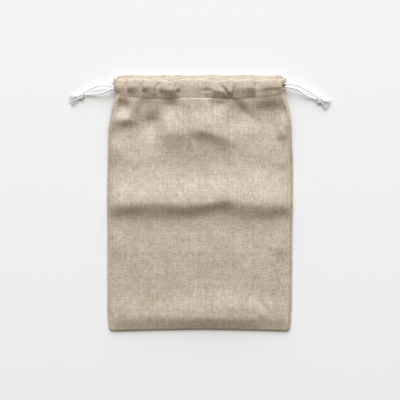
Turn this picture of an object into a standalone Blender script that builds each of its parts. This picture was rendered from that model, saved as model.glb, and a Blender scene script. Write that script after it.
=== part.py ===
"""A linen bread bag with two cotton drawstrings, lying empty on its back.

The bag is one strip of linen, folded at the bottom, sewn up both sides and hemmed round
the mouth. The hem turns inwards and leaves a channel all the way round. A slit in each
side seam lets a drawstring out. Each drawstring runs once round the mouth and leaves by
its own slit, where its two ends are tied together in one overhand knot.

Sizes are in millimetres. X runs across the bag, +Y towards the mouth and +Z up. The
origin is under the middle of the bag, on the surface that it lies on.
"""
import bpy
import bmesh
from math import cos, exp, pi, radians, sin
from mathutils import Vector

MM = 0.001

# Cloth
CLOTH_THICKNESS = 1.0
HALF_CLOTH = CLOTH_THICKNESS / 2
TOUCH_GAP = 0.3

# Drawstrings and the channel that holds them
CORD_DIAMETER = 2.8
CORD_RADIUS = CORD_DIAMETER / 2
CHANNEL_PLAY = 0.4
CHANNEL = CORD_DIAMETER + 2 * CHANNEL_PLAY
LAYER_STEP = CHANNEL + CLOTH_THICKNESS
MOUTH_GAP = 5.8

# Heights of the middle of the cloth above the surface
BACK_Z = HALF_CLOTH
CASING_Z = BACK_Z + 2 * LAYER_STEP + MOUTH_GAP + CLOTH_THICKNESS
STITCH_Z = 13.9
PANEL_Z = 13.5
EDGE_RISE = 4.8
FOLD_RISE = 4.8

# Places along the bag
STITCH_Y = 169.5
FRONT_TOP_Y = 196.0
BACK_TOP_Y = 202.5
SHOULDER_Y = 128.0
BOTTOM_Y = -206.0
BOTTOM_SLOPE = 23.0
SIDE_SLOPE = 27.0

# The bag's outline: its left and right edge at each place along it
OUTLINE = (
    # y, left, right
    (206.0, -138.8, 138.2),
    (191.0, -139.8, 138.4),
    (181.0, -139.6, 138.4),
    (176.0, -138.2, 138.0),
    (170.5, -136.8, 137.8),
    (163.0, -139.6, 140.0),
    (150.0, -142.4, 144.2),
    (134.0, -145.8, 146.4),
    (118.0, -148.4, 147.8),
    (69.0, -149.4, 150.2),
    (37.0, -150.2, 150.8),
    (-12.0, -150.8, 150.8),
    (-44.0, -150.2, 149.8),
    (-141.0, -150.0, 148.6),
    (-188.0, -149.2, 147.0),
    (-198.0, -147.6, 145.0),
    (-202.0, -144.0, 142.8),
    (-204.0, -139.6, 140.0),
    (-206.0, -134.0, 136.0),
)

# Folds that cross the whole front: where the crest lies at each place across the bag,
# how high it stands, and how far it slopes off towards the mouth and towards the bottom
BELLY_FOLD = (
    # x, crest y, height, slope to mouth, slope to bottom
    (-150.0, -9.0, 2.6, 34.0, 12.0),
    (-110.0, -4.0, 4.0, 38.0, 15.0),
    (-72.0, 5.0, 5.0, 36.0, 21.0),
    (-33.0, -1.0, 5.2, 42.0, 14.0),
    (8.0, -1.0, 5.4, 44.0, 13.0),
    (44.0, 4.0, 5.3, 46.0, 13.0),
    (70.0, 0.0, 4.6, 40.0, 21.0),
    (108.0, -6.0, 4.2, 40.0, 17.0),
    (150.0, -9.0, 2.4, 34.0, 12.0),
)
CHEST_FOLD = (
    (-150.0, 104.0, 0.0, 30.0, 20.0),
    (-96.0, 106.0, 0.6, 34.0, 20.0),
    (-62.0, 112.0, 1.8, 38.0, 26.0),
    (-12.0, 116.0, 2.8, 44.0, 16.0),
    (26.0, 105.0, 3.0, 46.0, 14.0),
    (52.0, 96.0, 2.0, 40.0, 16.0),
    (92.0, 92.0, 0.6, 34.0, 22.0),
    (150.0, 90.0, 0.2, 30.0, 22.0),
)
FOOT_FOLD = (
    (-150.0, -176.0, 0.8, 30.0, 26.0),
    (-84.0, -178.0, 1.8, 36.0, 24.0),
    (-46.0, -184.0, 1.4, 34.0, 22.0),
    (30.0, -178.0, 2.2, 44.0, 24.0),
    (78.0, -172.0, 2.6, 46.0, 26.0),
    (150.0, -178.0, 0.8, 30.0, 24.0),
)
CROSS_FOLDS = (BELLY_FOLD, CHEST_FOLD, FOOT_FOLD)

# Short folds: a ridge where the height is positive, a hollow where it is negative.
# The turn is how far the fold's length is turned from the X axis, in degrees.
SHORT_FOLDS = (
    # x, y, half length, half width, turn, height
    (-124.0, 150.0, 16.0, 9.0, 6.0, 1.7),
    (-92.0, 142.0, 30.0, 13.0, 42.0, -0.9),
    (-120.0, 129.0, 15.0, 8.0, -6.0, -1.0),
    (28.0, 152.0, 44.0, 12.0, -8.0, 1.0),
    (72.0, 156.0, 20.0, 7.0, -44.0, -1.0),
    (106.0, 154.0, 24.0, 8.0, -4.0, -1.1),
    (112.0, 132.0, 22.0, 12.0, 0.0, 0.9),
    (-128.0, 72.0, 18.0, 14.0, 0.0, -0.8),
    (-116.0, -42.0, 20.0, 16.0, 0.0, 0.8),
    (124.0, -44.0, 14.0, 14.0, 0.0, 0.8),
    (98.0, -166.0, 24.0, 6.0, -48.0, 1.0),
)

# Gathers in the front of the casing: how far each lowers its crown and its top edge
GATHERS = (
    # x, half width, dent, drop of the top edge
    (-112.0, 7.0, 1.3, 1.4),
    (-90.0, 6.0, 1.2, 1.2),
    (-66.0, 6.5, 1.6, 1.8),
    (-42.0, 7.0, 2.0, 2.2),
    (14.0, 8.0, 1.0, 1.0),
    (38.0, 4.5, 1.9, 2.6),
    (60.0, 5.0, 2.0, 2.8),
    (88.0, 6.0, 1.5, 1.6),
    (109.0, 6.0, 1.2, 1.2),
)
GATHER_RIPPLE = 0.6
RIPPLE_MIDDLE = 0.8
GATHER_END_Y = 146.0
CASING_RISE_LENGTH = 11.0
CROWN = 2.2
LEAST_CROWN = 0.1
CROWN_Y = 184.5
CROWN_SPREAD = 9.5
BACK_WAVE = 0.7
BACK_WAVE_LENGTH = 61.0

# How finely the cloth is divided
FRONT_COLUMNS = 32
BACK_COLUMNS = 8
SIDE_STEPS = 6
PANEL_ROWS = (
    -198.5, -191.5, -183.0, -172.0, -156.0, -128.0, -92.0, -60.0, -38.0, -25.0, -16.0, -8.0,
    0.0, 12.0, 28.0, 46.0, 66.0, 84.0, 96.0, 108.0, 120.0, 132.0, 143.0, 152.0, 161.0,
)
CASING_ROWS = (STITCH_Y, 175.0, 180.0, 183.4, 191.2, FRONT_TOP_Y)
HEM_ROWS = (FRONT_TOP_Y, 181.5, 175.5, STITCH_Y)
FOLD_TURNS = (45.0, 90.0, 135.0)
BOTTOM_TURNS = (78.0, 40.0, 0.0)

# The slits in the side seams, each between two rows of the casing
LEFT_SLIT = (180.0, 191.2)
RIGHT_SLIT = (183.4, FRONT_TOP_Y)
SLIT_STEPS = (1, 2)

# The drawstrings' routes, through the middle of the cord: from the knot in by the front
# of the casing, round the far side of the mouth, and back out by the back of the casing
LEFT_ROUTE = (
    # x, y, z
    (-187.4, 177.6, 5.4),
    (-181.4, 181.9, 5.8),
    (-172.7, 185.6, 7.0),
    (-162.4, 188.6, 8.8),
    (-153.6, 189.1, 10.5),
    (-144.6, 188.3, 11.9),
    (-139.4, 187.8, 12.5),
    (-135.4, 187.6, 13.2),
    (-130.4, 187.2, 14.0),
    (-118.0, 186.2, 14.2),
    (-95.0, 185.4, 14.2),
    (0.0, 185.2, 14.2),
    (110.0, 184.8, 14.2),
    (126.0, 183.8, 14.2),
    (129.9, 183.6, 14.15),
    (133.9, 183.5, 12.5),
    (135.6, 183.5, 8.5),
    (133.9, 183.5, 4.5),
    (129.9, 183.8, 2.85),
    (124.0, 184.9, 2.8),
    (105.0, 187.4, 2.8),
    (0.0, 188.4, 2.8),
    (-105.0, 186.6, 2.8),
    (-124.0, 184.6, 2.8),
    (-131.1, 184.3, 2.85),
    (-135.1, 184.2, 4.7),
    (-136.7, 184.2, 8.4),
    (-137.9, 184.2, 11.2),
    (-140.9, 183.7, 12.9),
    (-145.2, 181.9, 12.6),
    (-149.8, 179.6, 11.0),
    (-156.2, 177.1, 8.4),
    (-168.4, 175.4, 5.0),
    (-180.0, 175.3, 3.7),
    (-187.2, 174.2, 3.8),
)
RIGHT_ROUTE = (
    (188.6, 171.2, 5.6),
    (182.2, 176.2, 5.9),
    (173.4, 181.4, 6.8),
    (164.1, 186.3, 8.2),
    (154.6, 189.8, 9.8),
    (145.5, 191.3, 11.3),
    (137.7, 191.5, 12.7),
    (133.8, 191.4, 13.4),
    (128.8, 191.1, 14.1),
    (116.0, 190.6, 14.2),
    (95.0, 190.2, 14.2),
    (0.0, 190.0, 14.2),
    (-108.0, 190.6, 14.2),
    (-126.0, 192.3, 14.2),
    (-131.2, 192.4, 14.15),
    (-135.2, 192.4, 12.5),
    (-136.9, 192.4, 8.5),
    (-135.2, 192.4, 4.5),
    (-131.2, 192.4, 2.85),
    (-124.0, 192.4, 2.8),
    (-105.0, 193.2, 2.8),
    (0.0, 193.6, 2.8),
    (105.0, 192.0, 2.8),
    (122.0, 188.8, 2.8),
    (129.9, 187.0, 2.85),
    (133.9, 186.8, 4.5),
    (135.6, 186.8, 8.4),
    (136.6, 186.8, 11.2),
    (139.6, 186.4, 12.9),
    (144.4, 185.6, 12.9),
    (149.6, 184.6, 11.8),
    (155.8, 182.6, 9.8),
    (164.2, 177.5, 6.6),
    (173.4, 172.2, 4.5),
    (181.9, 169.4, 3.7),
    (188.2, 167.3, 3.8),
)
ROUTE_STEP = 1.0
LONGEST_STEP = 18.0
ROUTE_TOLERANCE = 0.08

# The knots: the middle of each, which way the cords come in, and where its two tails end
LEFT_KNOT = {
    "middle": (-191.6, 173.4, 4.4),
    "heading": 24.0,
    "tails": ((-212.4, 170.3, 2.6), (-208.9, 159.6, 2.4)),
}
RIGHT_KNOT = {
    "middle": (193.1, 166.4, 4.4),
    "heading": 142.0,
    "tails": ((211.6, 162.4, 2.6), (206.0, 152.6, 2.4)),
}
KNOT_SPREAD = 1.12
KNOT_HEIGHT = 1.5
KNOT_CORD_RADIUS = 1.55
KNOT_POINTS = 36
CORE_RADIUS = 3.2
CORE_HEIGHT = 3.2
TAIL_RADIUS = 1.3
TAIL_FLARE = 1.5
TAIL_STEPS = 6
TAIL_SAG = 1.3
WELD_DISTANCE = 0.01
KNOT_GRAIN = 0.55
KNOT_FACES_KEPT = 0.3

LINEN = ("linen", (0.53, 0.44, 0.34, 1.0), 0.9)
COTTON = ("cotton", (0.86, 0.86, 0.84, 1.0), 0.8)


def ease(value):
    """0 below 0, 1 above 1, and a smooth step between."""
    value = min(max(value, 0.0), 1.0)
    return value * value * (3.0 - 2.0 * value)


def read_table(table, place, column):
    """A column of a table whose first column is the place, eased between its rows."""
    rows = sorted(table)
    if place <= rows[0][0]:
        return rows[0][column]
    for low, high in zip(rows, rows[1:]):
        if place <= high[0]:
            share = (place - low[0]) / (high[0] - low[0])
            return low[column] + (high[column] - low[column]) * ease(share)
    return rows[-1][column]


def edge_at(y, column):
    """The left (1) or right (2) edge of the outline, in straight steps between its rows."""
    rows = sorted(OUTLINE)
    y = min(max(y, rows[0][0]), rows[-1][0])
    for low, high in zip(rows, rows[1:]):
        if y <= high[0]:
            share = (y - low[0]) / (high[0] - low[0])
            return low[column] + (high[column] - low[column]) * share


def cross_fold(table, x, y):
    """The height that one fold right across the front adds at a point."""
    crest = read_table(table, x, 1)
    height = read_table(table, x, 2)
    slope = read_table(table, x, 3 if y > crest else 4)
    return height * exp(-((y - crest) / slope) ** 2)


def short_fold(fold, x, y):
    """The height that one short fold adds at a point."""
    fold_x, fold_y, half_length, half_width, turn, height = fold
    along = (x - fold_x) * cos(radians(turn)) + (y - fold_y) * sin(radians(turn))
    across = (y - fold_y) * cos(radians(turn)) - (x - fold_x) * sin(radians(turn))
    return height * exp(-(along / half_length) ** 2 - (across / half_width) ** 2)


def gathered(x, column):
    """The sum of one column of the gathers at a place along the casing."""
    return sum(row[column] * exp(-((x - row[0]) / row[1]) ** 2) for row in GATHERS)


def edge_rise(y):
    """How far the front stands over the back along the side edges."""
    casing_rise = CASING_Z - BACK_Z
    stitch_rise = STITCH_Z - BACK_Z
    if y >= STITCH_Y:
        share = ease((y - STITCH_Y) / CASING_RISE_LENGTH)
        return stitch_rise + (casing_rise - stitch_rise) * share
    shoulder = ease((y - SHOULDER_Y) / (STITCH_Y - SHOULDER_Y))
    return EDGE_RISE + (stitch_rise - EDGE_RISE) * shoulder


def stitch_height(x):
    """The front cloth along the stitch line, which the gathers make wavy."""
    return STITCH_Z + GATHER_RIPPLE * (RIPPLE_MIDDLE - gathered(x, 2))


def casing_height(x, y):
    """The casing's front without its crown, from the stitch line to its full height."""
    low = stitch_height(x)
    return low + (CASING_Z - low) * ease((y - STITCH_Y) / CASING_RISE_LENGTH)


def panel_height(x, y):
    """The front panel below the casing, before its edges come down."""
    mouth_share = ease((y - GATHER_END_Y) / (STITCH_Y - GATHER_END_Y))
    height = PANEL_Z + (stitch_height(x) - PANEL_Z) * mouth_share
    folds = sum(cross_fold(table, x, y) for table in CROSS_FOLDS)
    folds += sum(short_fold(fold, x, y) for fold in SHORT_FOLDS)
    height += folds * (1.0 - mouth_share)
    bottom_share = min((y - BOTTOM_Y) / BOTTOM_SLOPE, 1.0)
    low = BACK_Z + FOLD_RISE
    return low + (height - low) * sin(0.5 * pi * max(bottom_share, 0.0))


def front_height(x, y):
    """The middle of the front cloth above the surface."""
    if y >= STITCH_Y:
        bulge = max(CROWN - gathered(x, 2), LEAST_CROWN)
        return casing_height(x, y) + bulge * exp(-((y - CROWN_Y) / CROWN_SPREAD) ** 2)
    edge = BACK_Z + edge_rise(y)
    inset = min(x - edge_at(y, 1), edge_at(y, 2) - x)
    taper = sin(0.5 * pi * min(max(inset, 0.0) / SIDE_SLOPE, 1.0))
    shoulder = ease((y - SHOULDER_Y) / (STITCH_Y - SHOULDER_Y))
    taper += (1.0 - taper) * shoulder
    return edge + (panel_height(x, y) - edge) * taper


def mouth_shift(x, y, back_share):
    """How far a point of the casing moves along Y: the back stands higher than the front,
    and the gathers pull the front's top edge down."""
    height_share = max(y - STITCH_Y, 0.0) / (FRONT_TOP_Y - STITCH_Y)
    wave = BACK_WAVE * sin(2.0 * pi * x / BACK_WAVE_LENGTH)
    back = (BACK_TOP_Y - FRONT_TOP_Y + wave) * back_share
    front = -gathered(x, 3) * (1.0 - back_share)
    return (back + front) * height_share


def ring(y, depth=0.0, lift=0.0, rise=None, front=front_height):
    """One closed ring of the cloth across the bag, in order round it: the front from left
    to right, the right side, the back from right to left, and the left side.

    depth moves the ring inwards, as the hem lies inside the casing, and lift moves it
    along Y. rise sets the height of the fold at the bottom end."""
    rise = edge_rise(y) if rise is None else rise
    radius = 0.5 * edge_rise(y)
    half_rise = 0.5 * rise - depth
    middle_z = BACK_Z + 0.5 * edge_rise(y)
    left = edge_at(y, 1) + HALF_CLOTH + radius
    right = edge_at(y, 2) - HALF_CLOTH - radius
    flatness = rise / edge_rise(y)
    points = []

    def add(x, z, back_share):
        points.append(Vector((x, y + lift + mouth_shift(x, y, back_share), z)))

    for column in range(FRONT_COLUMNS + 1):
        x = left + (right - left) * column / FRONT_COLUMNS
        add(x, middle_z + (front(x, y) - depth - middle_z) * flatness, 0.0)
    for step in range(1, SIDE_STEPS):
        turn = pi * step / SIDE_STEPS
        add(right + (radius - depth) * sin(turn), middle_z + half_rise * cos(turn),
            step / SIDE_STEPS)
    for column in range(BACK_COLUMNS + 1):
        x = right + (left - right) * column / BACK_COLUMNS
        add(x, middle_z - half_rise, 1.0)
    for step in range(1, SIDE_STEPS):
        turn = pi * step / SIDE_STEPS
        add(left - (radius - depth) * sin(turn), middle_z - half_rise * cos(turn),
            1.0 - step / SIDE_STEPS)
    return points


def cloth_rings():
    """The rings from the bottom fold up the outside, over the mouth and down the hem."""
    rings = []
    for turn in BOTTOM_TURNS:
        y = BOTTOM_Y + HALF_CLOTH + 0.5 * FOLD_RISE * (1.0 - sin(radians(turn)))
        rings.append(ring(y, rise=edge_rise(y) * cos(radians(turn))))
    rings += [ring(y) for y in PANEL_ROWS]
    rings += [ring(y) for y in CASING_ROWS]
    for turn in FOLD_TURNS:
        depth = 0.5 * LAYER_STEP * (1.0 - cos(radians(turn)))
        lift = 0.5 * LAYER_STEP * sin(radians(turn))
        rings.append(ring(FRONT_TOP_Y, depth, lift))
    for y in HEM_ROWS:
        narrow = CLOTH_THICKNESS + TOUCH_GAP
        depth = narrow + (LAYER_STEP - narrow) * ease((y - STITCH_Y) / CASING_RISE_LENGTH)
        rings.append(ring(y, depth, front=casing_height))
    return rings


def build_cloth(collection):
    """The bag's cloth: an open surface through the rings, thickened by Solidify."""
    rings = cloth_rings()
    count = len(rings[0])
    first_casing = len(BOTTOM_TURNS) + len(PANEL_ROWS)
    left_end = count - 1
    left_out = set()
    for band, (low, high) in enumerate(zip(CASING_ROWS, CASING_ROWS[1:])):
        if LEFT_SLIT[0] <= low and high <= LEFT_SLIT[1]:
            left_out |= {(first_casing + band, left_end - step) for step in SLIT_STEPS}
        if RIGHT_SLIT[0] <= low and high <= RIGHT_SLIT[1]:
            left_out |= {(first_casing + band, FRONT_COLUMNS + step) for step in SLIT_STEPS}

    mesh = bmesh.new()
    verts = [[mesh.verts.new(point * MM) for point in points] for points in rings]
    for row, (lower, upper) in enumerate(zip(verts, verts[1:])):
        for step in range(count):
            after = (step + 1) % count
            if (row, step) not in left_out:
                mesh.faces.new((lower[step], lower[after], upper[after], upper[step]))
    close_bottom(mesh, verts[0])
    unused = [vert for vert in mesh.verts if not vert.link_faces]
    bmesh.ops.delete(mesh, geom=unused, context="VERTS")
    return finish_mesh(mesh, "bag_cloth", collection, LINEN)


def close_bottom(mesh, points):
    """The last strip of the fold at the bottom end, from the front to the back."""
    per_back = FRONT_COLUMNS // BACK_COLUMNS
    back_start = FRONT_COLUMNS + SIDE_STEPS
    for column in range(BACK_COLUMNS):
        front = [points[per_back * column + step] for step in range(per_back, -1, -1)]
        back_end = back_start + BACK_COLUMNS - column
        mesh.faces.new(front + [points[back_end], points[back_end - 1]])
    right_end = [points[FRONT_COLUMNS + step] for step in range(SIDE_STEPS + 1)]
    mesh.faces.new(right_end[::-1])
    left_start = back_start + BACK_COLUMNS
    left_end = [points[(left_start + step) % len(points)] for step in range(SIDE_STEPS + 1)]
    mesh.faces.new(left_end[::-1])


def finish_mesh(mesh, name, collection, look):
    """Make an object of a bmesh, with its material and the cloth's thickness."""
    bmesh.ops.recalc_face_normals(mesh, faces=mesh.faces)
    data = bpy.data.meshes.new(name)
    mesh.to_mesh(data)
    mesh.free()
    obj = bpy.data.objects.new(name, data)
    collection.objects.link(obj)
    data.materials.append(make_material(look))
    solid = obj.modifiers.new("cloth thickness", "SOLIDIFY")
    solid.thickness = CLOTH_THICKNESS * MM
    solid.offset = 0.0
    solid.use_even_offset = True
    return obj


def smooth_route(route):
    """Points every ROUTE_STEP along a smooth curve through the route's own points."""
    points = [Vector(row) for row in route]
    points = [2 * points[0] - points[1]] + points + [2 * points[-1] - points[-2]]
    smooth = []
    for before, start, end, after in zip(points, points[1:], points[2:], points[3:]):
        spans = [(b - a).length ** 0.5 for a, b in ((before, start), (start, end), (end, after))]
        start_pull = (start - before) / spans[0] - (end - before) / (spans[0] + spans[1])
        start_pull = (start_pull + (end - start) / spans[1]) * spans[1]
        end_pull = (end - start) / spans[1] - (after - start) / (spans[1] + spans[2])
        end_pull = (end_pull + (after - end) / spans[2]) * spans[1]
        steps = max(2, round((end - start).length / ROUTE_STEP))
        for step in range(steps):
            t = step / steps
            near_end = 3 * t ** 2 - 2 * t ** 3
            smooth.append((1 - near_end) * start + near_end * end
                          + (t ** 3 - 2 * t ** 2 + t) * start_pull + (t ** 3 - t ** 2) * end_pull)
    return smooth + [points[-2]]


def thin_out(points):
    """Fewer points where the route runs straight: each step is as long as it can be while
    the points that it passes over lie within ROUTE_TOLERANCE of it."""
    kept = [points[0]]
    start = 0
    for end in range(2, len(points)):
        step = points[end] - points[start]
        passed = [point - points[start] for point in points[start + 1:end]]
        bulge = max((p - step * (p.dot(step) / step.length_squared)).length for p in passed)
        if bulge > ROUTE_TOLERANCE or step.length > LONGEST_STEP:
            start = end - 1
            kept.append(points[start])
    return kept + [points[-1]]


def make_tube(name, points, radius, collection, radii=None, cyclic=False):
    """A round tube along points, as a curve with filled ends."""
    data = bpy.data.curves.new(name, "CURVE")
    data.dimensions = "3D"
    data.bevel_depth = radius * MM
    data.bevel_resolution = 2
    data.use_fill_caps = True
    spline = data.splines.new("POLY")
    spline.points.add(len(points) - 1)
    for index, (target, point) in enumerate(zip(spline.points, points)):
        target.co = (*(point * MM), 1.0)
        target.radius = radii[index] if radii else 1.0
    spline.use_cyclic_u = cyclic
    obj = bpy.data.objects.new(name, data)
    collection.objects.link(obj)
    data.materials.append(make_material(COTTON))
    return obj


def knot_loop(knot):
    """The closed loops of a pulled overhand knot, lying on its side."""
    middle = Vector(knot["middle"])
    heading = radians(knot["heading"])
    points = []
    for index in range(KNOT_POINTS):
        t = 2.0 * pi * index / KNOT_POINTS
        x = KNOT_SPREAD * (sin(t) + 2.0 * sin(2.0 * t))
        y = KNOT_SPREAD * (cos(t) - 2.0 * cos(2.0 * t))
        z = -KNOT_HEIGHT * sin(3.0 * t)
        across = Vector((x * cos(heading) - y * sin(heading), x * sin(heading) + y * cos(heading), z))
        points.append(middle + across)
    return points


def tail_points(knot, end):
    """The middle of one tail, from inside the knot to its end, sagging to the surface."""
    start = Vector(knot["middle"])
    end = Vector(end)
    points = []
    for step in range(TAIL_STEPS + 1):
        share = step / TAIL_STEPS
        point = start.lerp(end, share)
        point.z = start.z + (end.z - start.z) * ease(TAIL_SAG * share)
        points.append(point)
    return points


def build_knot(name, knot, collection):
    """One knot with its two frayed tails: tubes fused into a single body."""
    tubes = [make_tube(name + "_loop", knot_loop(knot), KNOT_CORD_RADIUS, collection, cyclic=True)]
    flare = [1.0 + (TAIL_FLARE - 1.0) * ease(2.0 * step / TAIL_STEPS - 1.0)
             for step in range(TAIL_STEPS + 1)]
    for number, end in enumerate(knot["tails"]):
        tubes.append(make_tube(f"{name}_tail_{number}", tail_points(knot, end), TAIL_RADIUS,
                               collection, radii=flare))
    half_core = Vector((0.0, 0.0, 0.5 * CORE_HEIGHT))
    core = [Vector(knot["middle"]) - half_core, Vector(knot["middle"]) + half_core]
    tubes.append(make_tube(name + "_core", core, CORE_RADIUS, collection))
    bpy.context.view_layer.update()
    graph = bpy.context.evaluated_depsgraph_get()
    mesh = bmesh.new()
    for tube in tubes:
        part = bpy.data.meshes.new_from_object(tube.evaluated_get(graph))
        mesh.from_mesh(part)
        bpy.data.meshes.remove(part)
        bpy.data.objects.remove(tube, do_unlink=True)
    bmesh.ops.remove_doubles(mesh, verts=mesh.verts, dist=WELD_DISTANCE * MM)
    bmesh.ops.recalc_face_normals(mesh, faces=mesh.faces)
    data = bpy.data.meshes.new(name)
    mesh.to_mesh(data)
    mesh.free()
    obj = bpy.data.objects.new(name, data)
    collection.objects.link(obj)
    data.materials.append(make_material(COTTON))
    fuse = obj.modifiers.new("fuse", "REMESH")
    fuse.mode = "VOXEL"
    fuse.voxel_size = KNOT_GRAIN * MM
    fewer = obj.modifiers.new("fewer faces", "DECIMATE")
    fewer.ratio = KNOT_FACES_KEPT
    return obj


def make_material(look):
    """A plain Principled material, made once and shared."""
    name, colour, roughness = look
    material = bpy.data.materials.get(name)
    if material is None:
        material = bpy.data.materials.new(name)
        material.use_nodes = True
        shader = material.node_tree.nodes["Principled BSDF"]
        shader.inputs["Base Color"].default_value = colour
        shader.inputs["Roughness"].default_value = roughness
        shader.inputs["Metallic"].default_value = 0.0
    return material


def main():
    for obj in list(bpy.data.objects):
        bpy.data.objects.remove(obj, do_unlink=True)
    collection = bpy.data.collections.new("linen_bread_bag")
    bpy.context.scene.collection.children.link(collection)
    build_cloth(collection)
    for name, route in (("drawstring_left", LEFT_ROUTE), ("drawstring_right", RIGHT_ROUTE)):
        make_tube(name, thin_out(smooth_route(route)), CORD_RADIUS, collection)
    build_knot("knot_left", LEFT_KNOT, collection)
    build_knot("knot_right", RIGHT_KNOT, collection)


main()
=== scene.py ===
"""The looks of the linen bread bag: its stitched cloth, its cotton cords and knots, on a table.

Everything lies in the part's own frame. The cloth's tables are in millimetres and are turned
into metres by MM. The cords' routes are the part's own, in metres.
"""

from math import cos, pi, radians, sin, sqrt

import bmesh
import bpy
import numpy as np
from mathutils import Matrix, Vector, noise


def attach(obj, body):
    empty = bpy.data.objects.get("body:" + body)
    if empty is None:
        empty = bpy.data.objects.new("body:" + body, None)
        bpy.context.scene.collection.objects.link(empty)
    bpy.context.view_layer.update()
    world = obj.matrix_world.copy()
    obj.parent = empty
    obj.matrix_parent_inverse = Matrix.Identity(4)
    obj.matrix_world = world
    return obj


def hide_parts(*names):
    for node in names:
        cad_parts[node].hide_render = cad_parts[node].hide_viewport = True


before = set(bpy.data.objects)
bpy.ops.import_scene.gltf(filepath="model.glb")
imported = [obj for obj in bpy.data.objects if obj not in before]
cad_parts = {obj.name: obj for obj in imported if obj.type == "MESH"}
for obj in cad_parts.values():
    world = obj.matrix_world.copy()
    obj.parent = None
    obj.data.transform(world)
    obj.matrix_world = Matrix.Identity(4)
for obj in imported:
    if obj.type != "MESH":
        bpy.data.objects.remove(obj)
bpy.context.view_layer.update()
MM = 0.001

# -------- objects and materials

# Nearly all of a noise in a plane lies between these
FLAT_NOISE_RANGE = (0.22, 0.78)


def add_object(name, data):
    """A new object of this data, in the scene."""
    made = bpy.data.objects.new(name, data)
    bpy.context.collection.objects.link(made)
    return made


class Nodes:
    """A material's nodes, with short ways to add the ones used here."""

    def __init__(self, name, roughness, specular):
        self.material = bpy.data.materials.new(name)
        self.material.use_nodes = True
        self.tree = self.material.node_tree
        self.shader = self.tree.nodes["Principled BSDF"]
        self.shader.inputs["Roughness"].default_value = roughness
        self.shader.inputs["Specular IOR Level"].default_value = specular

    def feed(self, socket, value):
        """Links a socket to another node's output, or gives it a plain value."""
        if isinstance(value, bpy.types.NodeSocket):
            self.tree.links.new(value, socket)
        else:
            socket.default_value = value

    def add(self, kind, output, settings=None, **inputs):
        """The output of a new node with these settings and inputs."""
        node = self.tree.nodes.new("ShaderNode" + kind)
        for name, value in (settings or {}).items():
            setattr(node, name, value)
        for name, value in inputs.items():
            self.feed(node.inputs[name.replace("_", " ")], value)
        return node.outputs[output]

    def math(self, operation, *values, kind="Math"):
        """The result of a calculation. kind is Math for numbers and VectorMath for vectors."""
        node = self.tree.nodes.new("ShaderNode" + kind)
        node.operation = operation
        for socket, value in zip(node.inputs, values):
            self.feed(socket, value)
        return node.outputs[0]

    def mix(self, share, first, second):
        """A number mixed of two: the first where share is 0, the second where it is 1."""
        return self.add("Mix", "Result", {"data_type": "FLOAT"}, Factor=share, A=first, B=second)

    def scaled(self, value, low, high, new_low, new_high):
        """A value between low and high moved to between new_low and new_high."""
        return self.add("MapRange", "Result", Value=value, From_Min=low, From_Max=high,
                        To_Min=new_low, To_Max=new_high)

    def noise(self, place, scale, detail, dimensions="2D", output="Fac"):
        """Blender's noise, with so many waves to each unit."""
        return self.add("TexNoise", output, {"noise_dimensions": dimensions}, Vector=place,
                        Scale=scale, Detail=detail)

    def flat_noise(self, x, y):
        """Noise in a plane, about 0 to 1, one wave to each unit of x and y."""
        value = self.noise(self.add("CombineXYZ", "Vector", X=x, Y=y), 1.0, 1.0)
        return self.scaled(value, *FLAT_NOISE_RANGE, 0.0, 1.0)

    def finish(self, colour, height, strength, distance):
        """The material, with this colour and a bump of this height."""
        self.feed(self.shader.inputs["Base Color"], colour)
        bump = self.add("Bump", "Normal", Height=height, Strength=strength, Distance=distance)
        self.feed(self.shader.inputs["Normal"], bump)
        return self.material


# -------- camera, light and table

PICTURE_WIDTH = 0.646
PICTURE_MIDDLE = (-0.0003, 0.0045, 0.006)
LENS = 100.0
SENSOR = 36.0

TABLE_SIZE = 22.0
TABLE_COLOUR = (0.87, 0.875, 0.87)
TABLE_ROUGHNESS = 0.85
TABLE_SPECULAR = 0.1
KEY_DIRECTION = (0.0, 1.0, 0.62)
KEY_DISTANCE = 9.0
KEY_WIDTH = 14.0
KEY_HEIGHT = 11.0
KEY_POWER = 2222.0
KEY_COLOUR = (0.887, 0.935, 1.0)
SKY_COLOUR = (1.0, 0.8, 0.52)
SKY_STRENGTH = 0.2
BACKDROP_COLOUR = (0.78, 0.785, 0.78)


def make_camera():
    """Looks straight down, with the picture's top towards the bag's mouth."""
    data = bpy.data.cameras.new("camera")
    data.lens = LENS
    data.sensor_width = SENSOR
    camera = add_object("camera", data)
    distance = PICTURE_WIDTH * LENS / SENSOR
    camera.location = Vector(PICTURE_MIDDLE) + Vector((0.0, 0.0, distance))
    bpy.context.scene.camera = camera


def make_light():
    """One wide soft light, low from beyond the mouth, and a warm even light from the room.
    The camera sees a pale backdrop in place of the room, which gives no light."""
    data = bpy.data.lights.new("key", "AREA")
    data.shape = "RECTANGLE"
    data.size = KEY_WIDTH
    data.size_y = KEY_HEIGHT
    data.energy = KEY_POWER
    data.color = KEY_COLOUR
    light = add_object("key", data)
    away = Vector(KEY_DIRECTION).normalized()
    light.location = away * KEY_DISTANCE
    light.rotation_mode = "QUATERNION"
    light.rotation_quaternion = (-away).to_track_quat("-Z", "Y")

    world = bpy.data.worlds.new("sky")
    world.use_nodes = True
    tree = world.node_tree
    sky = tree.nodes["Background"]
    sky.inputs["Color"].default_value = (*SKY_COLOUR, 1.0)
    sky.inputs["Strength"].default_value = SKY_STRENGTH
    backdrop = tree.nodes.new("ShaderNodeBackground")
    backdrop.inputs["Color"].default_value = (*BACKDROP_COLOUR, 1.0)
    path = tree.nodes.new("ShaderNodeLightPath")
    either = tree.nodes.new("ShaderNodeMixShader")
    tree.links.new(path.outputs["Is Camera Ray"], either.inputs["Fac"])
    tree.links.new(sky.outputs["Background"], either.inputs[1])
    tree.links.new(backdrop.outputs["Background"], either.inputs[2])
    tree.links.new(either.outputs["Shader"], tree.nodes["World Output"].inputs["Surface"])
    bpy.context.scene.world = world
    bpy.context.scene.view_settings.view_transform = "Standard"


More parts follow.
